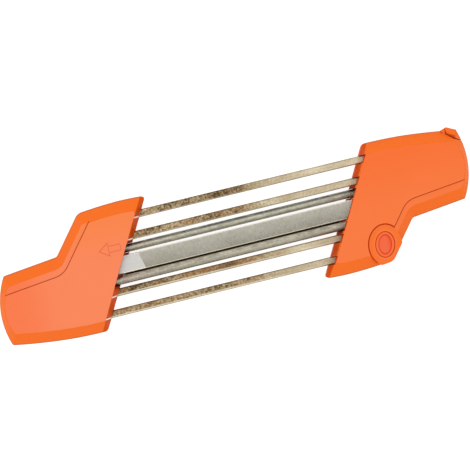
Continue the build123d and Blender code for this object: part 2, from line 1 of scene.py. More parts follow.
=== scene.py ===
# %% [markdown]
# # A file guide for saw chains
#
# The tool lies on its back on a pale floor and is seen from above. Two orange plastic handles are joined
# by four flat guide rods, with two round files and a flat file between them. The solids come from the
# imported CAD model, so this lesson is about what makes them look real: teeth on the files, moulded
# plastic, zinc plating, soft light and a camera in the right place.

# %% Load the frame
import math

import bpy
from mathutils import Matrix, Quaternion, Vector


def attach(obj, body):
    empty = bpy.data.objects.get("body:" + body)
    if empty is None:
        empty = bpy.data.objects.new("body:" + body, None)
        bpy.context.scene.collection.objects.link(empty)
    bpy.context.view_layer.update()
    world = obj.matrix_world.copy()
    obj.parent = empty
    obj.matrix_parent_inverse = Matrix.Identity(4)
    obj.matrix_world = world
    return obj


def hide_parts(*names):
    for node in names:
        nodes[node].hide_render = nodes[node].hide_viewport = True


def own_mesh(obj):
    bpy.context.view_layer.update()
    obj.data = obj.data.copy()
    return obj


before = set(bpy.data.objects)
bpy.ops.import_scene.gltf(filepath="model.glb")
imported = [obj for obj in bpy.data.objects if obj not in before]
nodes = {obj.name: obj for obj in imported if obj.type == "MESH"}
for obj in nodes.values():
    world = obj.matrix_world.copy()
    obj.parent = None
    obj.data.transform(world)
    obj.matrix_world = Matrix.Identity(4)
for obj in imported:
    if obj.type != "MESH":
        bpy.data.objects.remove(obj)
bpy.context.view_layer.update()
print("CAD nodes:", len(nodes))

# %% [markdown]
# ## Sums on a surface
#
# A material's colour follows sums that are worked out at each point: how far the point is from a line,
# how strong a noise is there. Wiring each sum by hand is slow to read, so a small class wraps a node's
# socket and turns Python's own signs into Math nodes. The same class serves Geometry Nodes, whose fields
# use the same Math node.

# %% Fields and graphs
class Field:
    """A value that varies from place to place, held in one socket of a node tree."""

    def __init__(self, graph, socket):
        self.graph = graph
        self.socket = socket

    def math(self, operation, *terms):
        inputs = dict(enumerate(terms))
        return self.graph.node("ShaderNodeMath", {"operation": operation}, inputs)

    def __add__(self, other):
        return self.math("ADD", self, other)

    __radd__ = __add__

    def __sub__(self, other):
        return self.math("SUBTRACT", self, other)

    def __rsub__(self, other):
        return self.math("SUBTRACT", other, self)

    def __mul__(self, other):
        return self.math("MULTIPLY", self, other)

    __rmul__ = __mul__

    def __truediv__(self, other):
        return self.math("DIVIDE", self, other)

    def __abs__(self):
        return self.math("ABSOLUTE", self)

    def root(self):
        return self.math("SQRT", self)

    def sign(self):
        return self.math("SIGN", self)

    def nearest_whole(self):
        return self.math("ROUND", self)

    def fract(self):
        return self.math("FRACT", self)

    def turn_from(self, other):
        """The share of a full turn, from -0.5 to 0.5, of a point at other across and self up."""
        return self.math("ARCTAN2", self, other) / math.tau

    def least(self, other):
        return self.math("MINIMUM", self, other)

    def most(self, other):
        return self.math("MAXIMUM", self, other)

    def below(self, limit):
        return self.math("LESS_THAN", self, limit)

    def above(self, limit):
        return self.math("GREATER_THAN", self, limit)

    def fade(self, start, end):
        """1 up to start, falling smoothly to 0 at end. start may be above end, for the other side."""
        settings = {"interpolation_type": "SMOOTHSTEP"}
        inputs = {"Value": self, "From Min": start, "From Max": end, "To Min": 1.0, "To Max": 0.0}
        return self.graph.node("ShaderNodeMapRange", settings, inputs)


def set_stops(ramp, stops):
    """Gives a colour ramp its stops, each a position and a colour."""
    while len(ramp.elements) < len(stops):
        ramp.elements.new(1.0)
    for element, (position, colour) in zip(ramp.elements, stops):
        element.position = position
        element.color = colour


class Graph:
    """A node tree, and the one method that adds nodes to it."""

    def __init__(self, tree):
        self.tree = tree

    def node(self, kind, settings=None, inputs=None, output=0):
        """Adds a node with its settings and inputs, and returns one of its outputs as a field."""
        made = self.tree.nodes.new(kind)
        for name, value in (settings or {}).items():
            if name == "stops":
                set_stops(made.color_ramp, value)
            else:
                setattr(made, name, value)
        for key, value in (inputs or {}).items():
            self.feed(made.inputs[key], value)
        return Field(self, made.outputs[output])

    def feed(self, socket, value):
        """A link from a field, or a plain value, into a socket."""
        if isinstance(value, Field):
            self.tree.links.new(value.socket, socket)
        else:
            socket.default_value = value

    def split(self, place):
        """The x, y and z of a place, as three fields."""
        return [self.node("ShaderNodeSeparateXYZ", None, {0: place}, axis) for axis in "XYZ"]


print("sum helpers ready")

# %% [markdown]
# ## A finish
#
# Every finish here is a Principled shader whose colour, roughness and bump come from fields. Object
# coordinates are in metres and stay with the piece, so a grain of half a millimetre is half a millimetre
# on every piece, and it moves with the cover when that swings.

# %% Finish helper
MM = 0.001


def srgb(red, green, blue):
    """A screen colour from 0 to 255 as the linear colour that a shader takes."""
    linear = []
    for value in (red, green, blue):
        share = value / 255
        linear.append(share / 12.92 if share <= 0.04045 else ((share + 0.055) / 1.055) ** 2.4)
    return (*linear, 1.0)


class Finish(Graph):
    """A material under construction."""

    def __init__(self, name, metallic=0.0, specular=0.5):
        self.material = bpy.data.materials.new(name)
        self.material.use_nodes = True
        super().__init__(self.material.node_tree)
        self.shader = self.tree.nodes["Principled BSDF"]
        self.shader.inputs["Metallic"].default_value = metallic
        self.shader.inputs["Specular IOR Level"].default_value = specular
        self.place = self.node("ShaderNodeTexCoord", output="Object")
        self.x, self.y, self.z = self.split(self.place)
        facing = self.node("ShaderNodeNewGeometry", output="True Normal")
        self.upright = abs(self.node("ShaderNodeSeparateXYZ", None, {0: facing}, "Z"))

    def noise(self, size, detail=2.0, stretch=(1.0, 1.0, 1.0), roughness=0.5, place=None):
        """Noise from 0 to 1 with spots about size across, longer along an axis whose stretch is less."""
        place = place or self.place
        scaled = self.node("ShaderNodeVectorMath", {"operation": "MULTIPLY"}, {0: place, 1: stretch})
        inputs = {"Vector": scaled, "Scale": 1.0 / size, "Detail": detail, "Roughness": roughness}
        return self.node("ShaderNodeTexNoise", None, inputs, "Fac")

    def blend(self, share, first, second):
        """The first colour where share is 0, the second where it is 1."""
        return self.node("ShaderNodeMix", {"data_type": "RGBA"}, {0: share, 6: first, 7: second}, 2)

    def ramp(self, share, stops):
        """A colour for each value of share."""
        return self.node("ShaderNodeValToRGB", {"stops": stops}, {0: share}, "Color")

    def surface(self, colour, roughness, relief=None, depth=0.0):
        """Sends colour, roughness and relief to the shader. depth is the relief's height in metres."""
        self.feed(self.shader.inputs["Base Color"], colour)
        self.feed(self.shader.inputs["Roughness"], roughness)
        if relief is not None:
            inputs = {"Height": relief, "Distance": depth, "Strength": 1.0}
            bump = self.node("ShaderNodeBump", None, inputs)
            self.feed(self.shader.inputs["Normal"], bump)


print("finish helper ready")

# %% [markdown]
# ## Camera
#
# The photograph looks down on the tool from a little over a metre, slightly from its left and far side,
# with the tool turned so that its long axis rises to the right. A long lens keeps the handles' sides
# narrow. The lens is chosen so that VIEW_WIDTH is just as wide as the picture.

# %% Camera
VIEW_WIDTH = 310.2 * MM
CAMERA_DISTANCE = 1.3
SENSOR_WIDTH_MM = 36.0
VIEW_MIDDLE = Vector((0.3, 1.4, 13.0)) * MM
VIEW_FROM = Vector((-0.035, 0.022, 1.0)).normalized()
VIEW_ROLL = math.radians(-13.71)
UP = Vector((0.0, 0.0, 1.0))

camera_data = bpy.data.cameras.new("camera")
camera_data.sensor_width = SENSOR_WIDTH_MM
camera_data.lens = SENSOR_WIDTH_MM * CAMERA_DISTANCE / VIEW_WIDTH
camera_data.clip_end = 20.0
camera = bpy.data.objects.new("camera", camera_data)
camera.location = VIEW_MIDDLE + VIEW_FROM * CAMERA_DISTANCE
camera.rotation_mode = "QUATERNION"
camera.rotation_quaternion = UP.rotation_difference(VIEW_FROM) @ Quaternion(UP, VIEW_ROLL)
bpy.context.scene.collection.objects.link(camera)
bpy.context.scene.camera = camera
print("camera at", tuple(round(v, 3) for v in camera.location))

# %% [markdown]
# ## Light
#
# The studio is nearly white all round, so every bevel is about as bright as the face beside it. One soft
# box hangs over the left end and a weaker one over the right end. The rods and files mirror them. The
# plastic mirrors almost nothing, so the boxes' sheen on its faces, and the slow changes of that sheen
# across them, are painted into its colour.

# %% Light
BOX_SIZE = 1.2
STUDIO_STRENGTH = 0.77


def soft_box(name, place, target, power):
    """A square area light at place that looks at target."""
    data = bpy.data.lights.new(name, "AREA")
    data.shape = "SQUARE"
    data.size = BOX_SIZE
    data.energy = power
    light = bpy.data.objects.new(name, data)
    light.visible_camera = False
    light.location = place
    light.rotation_mode = "QUATERNION"
    light.rotation_quaternion = UP.rotation_difference(Vector(place) - Vector(target))
    bpy.context.scene.collection.objects.link(light)


soft_box("left_box", place=(-0.55, 0.15, 1.6), target=(-0.15, 0.0, 0.0), power=6.2)
soft_box("right_box", place=(0.50, 0.05, 1.6), target=(0.15, 0.0, 0.0), power=3.7)

world = bpy.data.worlds.new("studio")
world.use_nodes = True
background = world.node_tree.nodes["Background"]
background.inputs["Color"].default_value = (1.0, 1.0, 1.0, 1.0)
background.inputs["Strength"].default_value = STUDIO_STRENGTH
bpy.context.scene.world = world
bpy.context.scene.view_settings.view_transform = "Standard"

# %% [markdown]
# ## Floor
#
# The photo's background is pure white, also where it shows between the rods. So the floor is white paper
# on a light table: it glows a little, and the tool's shadow on it stays faint. Under the narrow gap
# between the flat file and the lower round file the photo is dark. There the glow stops, and a painted
# shadow makes the paper almost black in a strip about two millimetres wide.

# %% Floor
FLOOR_HALF = 2.0
FLOOR_CORNERS = [(-1, -1), (1, -1), (1, 1), (-1, 1)]
FLOOR_GLOW = 0.8
GAP_SHADOW_Y = -6.85 * MM
GAP_SHADOW_HALF = 85.0 * MM


def floor_finish():
    """White paper that glows, with a painted shadow under the narrow gap between two files."""
    finish = Finish("floor_paper", specular=0.0)
    tone = finish.noise(80 * MM, 3.0)
    # A strip of painted shadow under the gap between the flat file and the lower round file.
    across = abs(finish.y - GAP_SHADOW_Y).fade(0.6 * MM, 1.2 * MM)
    along = abs(finish.x).fade(GAP_SHADOW_HALF - 10.0 * MM, GAP_SHADOW_HALF)
    shadow = across * along
    glow = finish.blend(shadow, (1.0, 1.0, 1.0, 1.0), (0.0, 0.0, 0.0, 1.0))
    paper = finish.blend(tone, (0.45, 0.45, 0.45, 1.0), (0.47, 0.47, 0.47, 1.0))
    # Painted shadow: in the strip the paper is almost black and its glow stops.
    finish.surface(finish.blend(shadow, paper, (0.04, 0.03, 0.02, 1.0)), 0.9)
    finish.feed(finish.shader.inputs["Emission Color"], glow)
    finish.shader.inputs["Emission Strength"].default_value = FLOOR_GLOW
    return finish.material


floor_mesh = bpy.data.meshes.new("floor")
floor_points = [(x * FLOOR_HALF, y * FLOOR_HALF, 0.0) for x, y in FLOOR_CORNERS]
floor_mesh.from_pydata(floor_points, [], [(0, 1, 2, 3)])
floor_mesh.materials.append(floor_finish())
floor = bpy.data.objects.new("floor", floor_mesh)
bpy.context.scene.collection.objects.link(floor)
print("floor laid")

# %% [markdown]
# ## Painted shade and glints of the comb
#
# Each handle's slanted inner end is a comb that the rods and files come out of. Its walls get painted
# shade: a deeper orange for the orange light that bounces between them, most of all between the files,
# where the least light comes in. Both combs are the same line turned by half a turn, so one sum serves
# both: how far a point lies inside that line. Over the lower edge of each rod the left handle's bevel
# has a thin painted highlight, a glint.

# %% Comb tones
SHELL_SEAM_Z = 13.0 * MM
COMB_REACH = 73.7 * MM
COMB_SLANT = math.radians(29.0)
COMB_EDGE = 0.3 * MM
LEFT_COMB_DEPTH = 3.1 * MM
RIGHT_COMB_DEPTH = 2.5 * MM
# Where the painted glints run, over the lower edge of each rod.
LEFT_GLINTS = (28.3 * MM, 15.2 * MM, -19.0 * MM, -32.1 * MM)


def comb_share(finish, depth):
    """1 in the comb of either handle, as far in as depth, and 0 on the rest of the handle."""
    across = finish.y * math.tan(COMB_SLANT)
    right_depth = finish.x - COMB_REACH - across
    left_depth = (finish.x + COMB_REACH - across) * -1.0
    deeper = right_depth.most(left_depth) * math.cos(COMB_SLANT)
    return deeper.fade(depth - COMB_EDGE, depth + COMB_EDGE)


def comb_shade_tone(finish):
    """Painted shade: deep orange, darkest between the files, where the least light comes in."""
    between_files = abs(finish.y).fade(13.6 * MM, 15.0 * MM)
    beyond_rods = abs(finish.y).fade(34.5 * MM, 32.5 * MM)
    patchy = finish.noise(5 * MM, 3.0, roughness=0.7).fade(0.6, 0.4)
    tone = finish.blend(patchy, srgb(208, 70, 0), srgb(186, 64, 0))
    tone = finish.blend(beyond_rods, tone, srgb(206, 75, 5))
    return finish.blend(between_files, tone, srgb(118, 30, 2))


def glint_line(finish, glints):
    """1 on the bevels in a thin line at each painted glint's y, 0 elsewhere."""
    off = abs(finish.y - glints[0])
    for y in glints[1:]:
        off = off.least(abs(finish.y - y))
    on_bevel = finish.upright.above(0.2) * finish.z.above(SHELL_SEAM_Z)
    return off.fade(0.3 * MM, 0.55 * MM) * on_bevel


print("comb tones ready")

# %% [markdown]
# ## Tones and painted shade of the boss and the grooves
#
# The pivot's boss and cap are ovals that lean by a few degrees. One sum says how far out a point is from
# the pivot, measured in ovals, and rings of tone and painted shade follow from it. The floors of the
# grooves lie at known heights above and below the seam between the shells, which picks them out for
# their painted shade without naming their outlines.

# %% Boss and groove tones
PIVOT_X = 94.2 * MM
PIVOT_Y = -27.7 * MM
OVAL_LEAN = math.radians(13.7)
RING_HALF_X = 11.4 * MM
RING_HALF_Y = 13.8 * MM
BOSS_TOP_Z = 25.45 * MM
CAP_HALF_X = 6.2 * MM
CAP_HALF_Y = 8.3 * MM
GROOVE_FLOOR_HEIGHT = 11.85 * MM
DEEP_WALL_HEIGHT = 7.0 * MM
STEEP = 0.15


def oval_distance(finish, half_x, half_y):
    """How far out a point is from the pivot: 1 on the oval with these half widths, less inside it."""
    off_x = finish.x - PIVOT_X
    off_y = finish.y - PIVOT_Y
    across = (off_x * math.cos(OVAL_LEAN) - off_y * math.sin(OVAL_LEAN)) / half_x
    along = (off_x * math.sin(OVAL_LEAN) + off_y * math.cos(OVAL_LEAN)) / half_y
    return (across * across + along * along).root()


def boss_rim_shade(finish):
    """1 on the rounded rim of the boss, on its upper left, where painted shade goes, 0 elsewhere."""
    out = oval_distance(finish, RING_HALF_X, RING_HALF_Y)
    upper_left = ((finish.y - PIVOT_Y) - (finish.x - PIVOT_X)).fade(6 * MM, -6 * MM)
    return out.fade(0.97, 0.86) * out.below(1.0) * finish.z.below(BOSS_TOP_Z) * upper_left


def boss_face(finish):
    """1 on the face of the boss round the cap, 0 elsewhere."""
    outer = oval_distance(finish, RING_HALF_X, RING_HALF_Y).fade(0.9, 0.98)
    inner = oval_distance(finish, CAP_HALF_X, CAP_HALF_Y).fade(1.35, 1.1)
    return outer * inner * finish.z.above(BOSS_TOP_Z)


def crease_shade_share(finish):
    """1 on the floors and walls of grooves and gaps near the faces, where painted shade goes, 0
    elsewhere.
    """
    from_middle = abs(finish.z - SHELL_SEAM_Z)
    off_floor = abs(from_middle - GROOVE_FLOOR_HEIGHT)
    floor = off_floor.fade(0.08 * MM, 0.16 * MM) * finish.upright.above(0.97)
    wall = finish.upright.below(STEEP) * from_middle.above(DEEP_WALL_HEIGHT)
    return floor.most(wall)


print("boss and groove tones ready")

# %% [markdown]
# ## Arrow
#
# The left face has an arrow moulded in its skin as a thin line. It is too shallow for the solids, so it
# is bump and a slightly deeper painted shade. The line is what is left of a slightly larger arrow when a
# slightly smaller one is taken out of it.

# %% Arrow
FACE_LOW_Z = 20.0 * MM
TIP_GROWTH = 2.2
LEFT_ARROW = {
    "tip": -88.8 * MM,
    "neck": -82.5 * MM,
    "tail": -74.6 * MM,
    "middle_y": 12.0 * MM,
    "head_half": 4.36 * MM,
    "shaft_half": 2.05 * MM,
    "line": 0.45 * MM,
}


def arrow_line(finish, tip, neck, tail, middle_y, head_half, shaft_half, line):
    """1 on the thin outline of an arrow that points to the left, 0 elsewhere."""
    off = abs(finish.y - middle_y)
    slope = head_half / (neck - tip)

    def solid(grow):
        """1 inside the arrow when its sides are moved out by grow."""
        head = off.below((finish.x - tip + grow * TIP_GROWTH) * slope) * finish.x.below(neck + grow)
        shaft = off.below(shaft_half + grow) * finish.x.above(neck - grow) * finish.x.below(tail + grow)
        return head.most(shaft)

    return (solid(line / 2) - solid(-line / 2)) * finish.z.above(FACE_LOW_Z)


print("arrow ready, from x", LEFT_ARROW["tip"], "to", LEFT_ARROW["tail"])

# %% [markdown]
# ## Orange plastic
#
# The handles are moulded in a tough orange plastic with a fine satin grain. The colour is built up in
# layers, each blended over the last: clouds of two tones that carry a painted sheen on the faces, slow
# painted changes of that sheen across the face and along the handle, the tone of the bevels without the
# sheen, painted shade on the steep side walls, a thin brown painted shade on the lowest millimetre of the
# bevels, the fine dark seam between the shells, the boss's face without the sheen and painted shade on
# its rim, painted shade in the grooves and in the comb, painted glints over the rods, and the arrow's
# line with its painted shade.

# %% Orange plastic
BEVEL_TONE = srgb(243, 110, 34)
WALL_SHADE = srgb(206, 84, 26)
RIM_SHADE = srgb(168, 104, 66)
SEAM_TONE = srgb(150, 45, 8)
BOSS_RIM_SHADE = srgb(196, 44, 0)
CREASE_SHADE = srgb(206, 52, 0)
GLINT_TONE = srgb(255, 240, 224)
ARROW_SHADE = srgb(200, 60, 10)
BAND_HALF = 4.0 * MM
GRAIN_SIZE = 0.35 * MM
GRAIN_DEPTH = 0.012 * MM


def orange_plastic(name, sheen_light_tone, sheen_deep_tone, sheen_fades, comb_depth, glints=None, arrow=None):
    """Moulded orange plastic, with painted sheen on its faces, painted shade in its comb, its seam and
    perhaps painted glints and an arrow.
    """
    finish = Finish(name, specular=0.04)
    drift = finish.noise(22 * MM, 2.0)
    patches = finish.noise(5 * MM, 3.0, roughness=0.6)
    grain = finish.noise(GRAIN_SIZE, 3.0, roughness=0.6)
    from_seam = abs(finish.z - SHELL_SEAM_Z)
    seam = from_seam.fade(0.05 * MM, 0.16 * MM)
    # rim: the lowest millimetre of the bevels, where a thin painted shade goes.
    rim = from_seam.fade(BAND_HALF + 0.2 * MM, BAND_HALF + 1.3 * MM) * finish.upright.above(0.1)
    comb = comb_share(finish, comb_depth)
    axes = {"x": finish.x, "y": finish.y}
    # Faces: clouds of two tones that carry a painted sheen from the soft boxes.
    colour = finish.blend(drift * 0.7 + patches * 0.3, sheen_light_tone, sheen_deep_tone)
    # Slow painted changes of that sheen across the face and along the handle.
    for axis, start, end, share, tone in sheen_fades:
        colour = finish.blend(axes[axis].fade(start, end) * share, colour, tone)
    # The bevels get the plastic's tone without the painted sheen.
    colour = finish.blend(finish.upright.fade(0.9, 0.98), colour, BEVEL_TONE)
    # Painted shade on the steep side walls.
    colour = finish.blend(finish.upright.below(STEEP) * 0.8, colour, WALL_SHADE)
    # Painted brown shade on the lowest millimetre of the bevels.
    colour = finish.blend(rim * 0.75, colour, RIM_SHADE)
    colour = finish.blend(seam * 0.5, colour, SEAM_TONE)
    # The boss's face mostly gets the tone without the painted sheen.
    colour = finish.blend(boss_face(finish) * 0.7, colour, BEVEL_TONE)
    # Painted shade on the rim of the boss, on its upper left.
    colour = finish.blend(boss_rim_shade(finish) * 0.7, colour, BOSS_RIM_SHADE)
    # Painted shade in the grooves and gaps.
    colour = finish.blend(crease_shade_share(finish) * 0.85, colour, CREASE_SHADE)
    # Painted shade in the comb.
    colour = finish.blend(comb * 0.95, colour, comb_shade_tone(finish))
    # Painted glints over the lower edges of the rods.
    if glints:
        colour = finish.blend(glint_line(finish, glints) * comb * 0.85, colour, GLINT_TONE)
    relief = grain - seam * 3.0
    if arrow:
        line = arrow_line(finish, **arrow)
        # The arrow's line gets a painted shade.
        colour = finish.blend(line * 0.42, colour, ARROW_SHADE)
        relief = relief - line * 4.0
    finish.surface(colour, 0.38 + grain * 0.12 + patches * 0.06, relief, GRAIN_DEPTH)
    return finish.material


# The left handle's tones carry more painted sheen than the right's, as under the stronger left box.
left_orange = orange_plastic(
    "left_orange_plastic",
    sheen_light_tone=srgb(244, 134, 92),
    sheen_deep_tone=srgb(243, 130, 87),
    sheen_fades=[
        ("y", 30 * MM, 5 * MM, 0.5, srgb(244, 128, 56)),
        ("x", -150 * MM, -118 * MM, 0.5, srgb(243, 108, 56)),
    ],
    comb_depth=LEFT_COMB_DEPTH,
    glints=LEFT_GLINTS,
    arrow=LEFT_ARROW,
)
right_orange = orange_plastic(
    "right_orange_plastic",
    sheen_light_tone=srgb(244, 122, 67),
    sheen_deep_tone=srgb(241, 117, 59),
    sheen_fades=[("y", 32 * MM, -4 * MM, 0.6, srgb(243, 107, 45))],
    comb_depth=RIGHT_COMB_DEPTH,
)
print("orange plastics:", left_orange.name, right_orange.name)

# %% [markdown]
# ## Pivot cap
#
# The cap is the same plastic, a little redder. Its ring lies round a dish, with a line of painted shade
# between them. The dish has a pinker painted sheen and painted shade on its right, and the cap's outer
# edge has painted shade all round, more on its right.

# %% Pivot cap
DISH_HALF_X = 4.2 * MM
DISH_HALF_Y = 6.3 * MM


def cap_plastic():
    """The pivot cap's plastic: a ring round a dish, with a line of painted shade between them."""
    finish = Finish("cap_orange_plastic", specular=0.12)
    grain = finish.noise(GRAIN_SIZE, 3.0, roughness=0.6)
    drift = finish.noise(6 * MM, 2.0)
    out = oval_distance(finish, DISH_HALF_X, DISH_HALF_Y)
    colour = finish.blend(drift, srgb(247, 110, 56), srgb(243, 104, 50))
    # The dish is pinker, a painted sheen.
    colour = finish.blend(out.fade(0.92, 1.0), colour, srgb(238, 102, 62))
    # shaded: 1 on the right, where painted shade goes on the dish and on the outer edge.
    shaded = (finish.x - PIVOT_X).fade(3.6 * MM, 1.0 * MM)
    colour = finish.blend(shaded * out.below(1.0) * 0.6, colour, srgb(232, 78, 20))
    # A line of painted shade at the dish's edge.
    colour = finish.blend(abs(out - 1.0).fade(0.03, 0.12) * 0.8, colour, srgb(210, 60, 10))
    # Painted shade round the cap's outer edge, more on its right.
    rim = oval_distance(finish, CAP_HALF_X, CAP_HALF_Y).fade(1.0, 0.92)
    colour = finish.blend(rim * (shaded * 0.5 + 0.35), colour, srgb(206, 50, 0))
    finish.surface(colour, 0.38 + grain * 0.12, grain, GRAIN_DEPTH)
    return finish.material


cap_orange = cap_plastic()
print("cap plastic:", cap_orange.name)

# %% [markdown]
# ## Seat plastic
#
# The blocks inside the handles that hold the files' ends are a plain dark grey plastic. Those in the
# right handle come into view when the cover swings aside.

# %% Seat plastic
def seat_plastic():
    """Plain dark grey plastic of the blocks that hold the files' ends."""
    finish = Finish("seat_grey_plastic")
    grain = finish.noise(0.4 * MM, 3.0)
    drift = finish.noise(6 * MM, 2.0)
    colour = finish.blend(drift, srgb(42, 42, 45), srgb(56, 56, 59))
    finish.surface(colour, 0.45 + grain * 0.15, grain, 0.015 * MM)
    return finish.material


seat_grey = seat_plastic()
print("seat plastic ready")

# %% [markdown]
# ## Steel and zinc
#
# The rods are steel strip in yellow zinc, which dries in cloudy gold and brown patches with fine specks.
# Each rod has its own run of tones: a share of copper red, and how light it is on the left, in the middle
# and on the right. The run from a browner left to a lighter right is partly the zinc's own colour and
# partly a painted reflection. All are smoother towards the right end, and a pale painted highlight runs
# along each rod's lower edge. The screws and pins are bright zinc, with faint drawing marks.

# %% Zinc finishes
ROD_HALF_WIDTH = 2.5 * MM
PALE_HIGHLIGHT = srgb(236, 227, 206)


def yellow_zinc(name, rod_y, highlight_width, copper, left_tone, middle_tone, right_tone):
    """Plating of the rod at rod_y. Its tones run from brown, below 0, to pale, towards 0.5."""
    finish = Finish(name, metallic=0.85)
    clouds = finish.noise(14 * MM, 3.0, stretch=(0.5, 1.0, 1.0))
    specks = finish.noise(1.4 * MM, 3.0, roughness=0.65)
    warmth = finish.noise(9 * MM, 2.0, stretch=(0.5, 1.0, 1.0))
    scratches = finish.noise(0.5 * MM, 2.0, stretch=(0.04, 1.0, 1.0))
    # The run from browner left to lighter right is partly the zinc's own colour, partly a painted
    # reflection.
    leftness = finish.x.fade(-50 * MM, 0.0)
    rightness = finish.x.fade(38 * MM, 0.0)
    tone = leftness * (left_tone - middle_tone) + rightness * (right_tone - middle_tone)
    mottle = (specks - 0.5) * (2.1 - rightness * 1.5) + (clouds - 0.5) * (1.0 - rightness * 0.4)
    share = mottle + scratches * 0.3 + tone + middle_tone + 0.2
    colour = finish.ramp(share, [
        (0.00, srgb(60, 46, 26)),
        (0.25, srgb(110, 88, 58)),
        (0.45, srgb(143, 125, 94)),
        (0.65, srgb(165, 150, 121)),
        (0.95, srgb(206, 195, 170)),
    ])
    warm = warmth.fade(0.62, 0.38) * (1.0 - rightness) * copper
    colour = finish.blend(warm, colour, srgb(156, 110, 66))
    # A pale painted highlight along each rod's lower edge, weaker towards the right.
    from_edge = finish.y - rod_y + ROD_HALF_WIDTH
    edge = from_edge.fade(highlight_width - 0.3 * MM, highlight_width + 0.3 * MM)
    colour = finish.blend(edge * (0.5 - rightness * 0.35), colour, PALE_HIGHLIGHT)
    finish.surface(colour, 0.30 + specks * 0.3, specks + scratches * 0.5, 0.03 * MM)
    return finish.material


def bright_zinc():
    """Plating of screws, pins, washer, sleeve and spring."""
    finish = Finish("fastener_zinc", metallic=1.0)
    marks = finish.noise(0.3 * MM, 3.0, stretch=(1.0, 1.0, 0.15))
    clouds = finish.noise(2.5 * MM, 2.0)
    colour = finish.blend(clouds, srgb(186, 188, 190), srgb(206, 206, 204))
    finish.surface(colour, 0.25 + marks * 0.2, marks, 0.01 * MM)
    return finish.material


ROD_TONES = {
    "upper_outer_guide_rod": {
        "rod_y": 30.2 * MM,
        "highlight_width": 0.7 * MM,
        "copper": 0.05,
        "left_tone": 0.09,
        "middle_tone": -0.18,
        "right_tone": 0.42,
    },
    "upper_inner_guide_rod": {
        "rod_y": 17.1 * MM,
        "highlight_width": 0.7 * MM,
        "copper": 0.30,
        "left_tone": 0.05,
        "middle_tone": -0.10,
        "right_tone": 0.40,
    },
    "lower_inner_guide_rod": {
        "rod_y": -17.1 * MM,
        "highlight_width": 1.4 * MM,
        "copper": 0.38,
        "left_tone": -0.09,
        "middle_tone": -0.14,
        "right_tone": 0.36,
    },
    "lower_outer_guide_rod": {
        "rod_y": -30.2 * MM,
        "highlight_width": 1.3 * MM,
        "copper": 0.18,
        "left_tone": 0.03,
        "middle_tone": 0.04,
        "right_tone": 0.35,
    },
}
rod_zincs = {node: yellow_zinc(f"{node}_zinc", **tones) for node, tones in ROD_TONES.items()}
fastener_zinc = bright_zinc()
print("zinc finishes:", len(rod_zincs) + 1)

# %% [markdown]
# ## Round file steel
#
# A file is bare hardened steel. Between its teeth it is darker, and the crests are lighter. The round
# files' axes are known, so the depth between the teeth is simply the distance from the axis. Each file
# has a painted tone on its far side, painted shade on the upper file and a painted highlight on the lower
# one, and both have painted shade on the near side. The upper file's tones are lighter, painted light for
# the shade it lies in between its neighbours.

# %% Round file steel
ROUND_RADIUS = 2.75 * MM
CUT_DEPTH = 0.13 * MM
UPPER_AXIS = (9.8 * MM, 9.85 * MM)
LOWER_AXIS = (-9.8 * MM, 16.15 * MM)
FAR_SHADE = srgb(60, 66, 66)
PAINTED_HIGHLIGHT = srgb(255, 248, 230)
VALLEY_TONE = srgb(70, 66, 56)
NEAR_SHADE = srgb(76, 78, 72)


def round_file_steel(name, axis_y, axis_z, dark, light, far_painted_tone, far_painted_share, near_shade_share):
    """Steel of a round file: streaks from dark to light, dark valleys, and painted light and shade on its
    two sides.
    """
    finish = Finish(name, metallic=0.9)
    off_y = finish.y - axis_y
    off_z = finish.z - axis_z
    from_axis = (off_y * off_y + off_z * off_z).root()
    valley = from_axis.fade(ROUND_RADIUS - CUT_DEPTH, ROUND_RADIUS - CUT_DEPTH * 0.2)
    clouds = finish.noise(9 * MM, 2.0, stretch=(0.4, 1.0, 1.0))
    specks = finish.noise(0.6 * MM, 3.0, roughness=0.7)
    streaks = finish.noise(1.5 * MM, 3.0, stretch=(0.35, 1.0, 1.0), roughness=0.6)
    side = off_y / ROUND_RADIUS
    colour = finish.blend(clouds * 0.5 + specks * 0.5 + streaks * 1.5 - 0.75, dark, light)
    colour = finish.blend(valley * 0.45, colour, VALLEY_TONE)
    # Painted tone on the far side: painted shade on the upper file, a painted highlight on the lower one.
    far = side.fade(0.72, 0.15) * (streaks.fade(0.62, 0.42) * 0.6 + 0.4)
    colour = finish.blend(far * far_painted_share, colour, far_painted_tone)
    # Painted shade on the near side.
    colour = finish.blend(side.fade(-0.9, -0.4) * near_shade_share, colour, NEAR_SHADE)
    finish.surface(colour, 0.34 + specks * 0.25, specks, 0.02 * MM)
    return finish.material


# The upper file's lighter tones are painted light for the shade it lies in between its neighbours.
upper_round_steel = round_file_steel(
    "upper_round_file_steel",
    *UPPER_AXIS,
    dark=srgb(160, 157, 142),
    light=srgb(232, 228, 208),
    far_painted_tone=FAR_SHADE,
    far_painted_share=0.9,
    near_shade_share=0.5,
)
lower_round_steel = round_file_steel(
    "lower_round_file_steel",
    *LOWER_AXIS,
    dark=srgb(154, 149, 134),
    light=srgb(219, 211, 189),
    far_painted_tone=PAINTED_HIGHLIGHT,
    far_painted_share=0.55,
    near_shade_share=0.4,
)
print("round file steels ready")

# %% [markdown]
# ## Flat file steel
#
# The flat file's streaks lean with its teeth, so their noise is looked up at leaned places. Its uncut end
# on the left is polished, and the border between the two runs along the teeth. Painted light makes it a
# little lighter towards its far edge, and both long edges carry a painted highlight.

# %% Flat file steel
FLAT_WIDTH = 11.5 * MM
FLAT_LEAN = 0.243
UNCUT_END_X = -63.0 * MM
HIGHLIGHT_EDGE_Y = 5.45 * MM
FAR_EDGE_PAINTED_LIGHT = 0.25


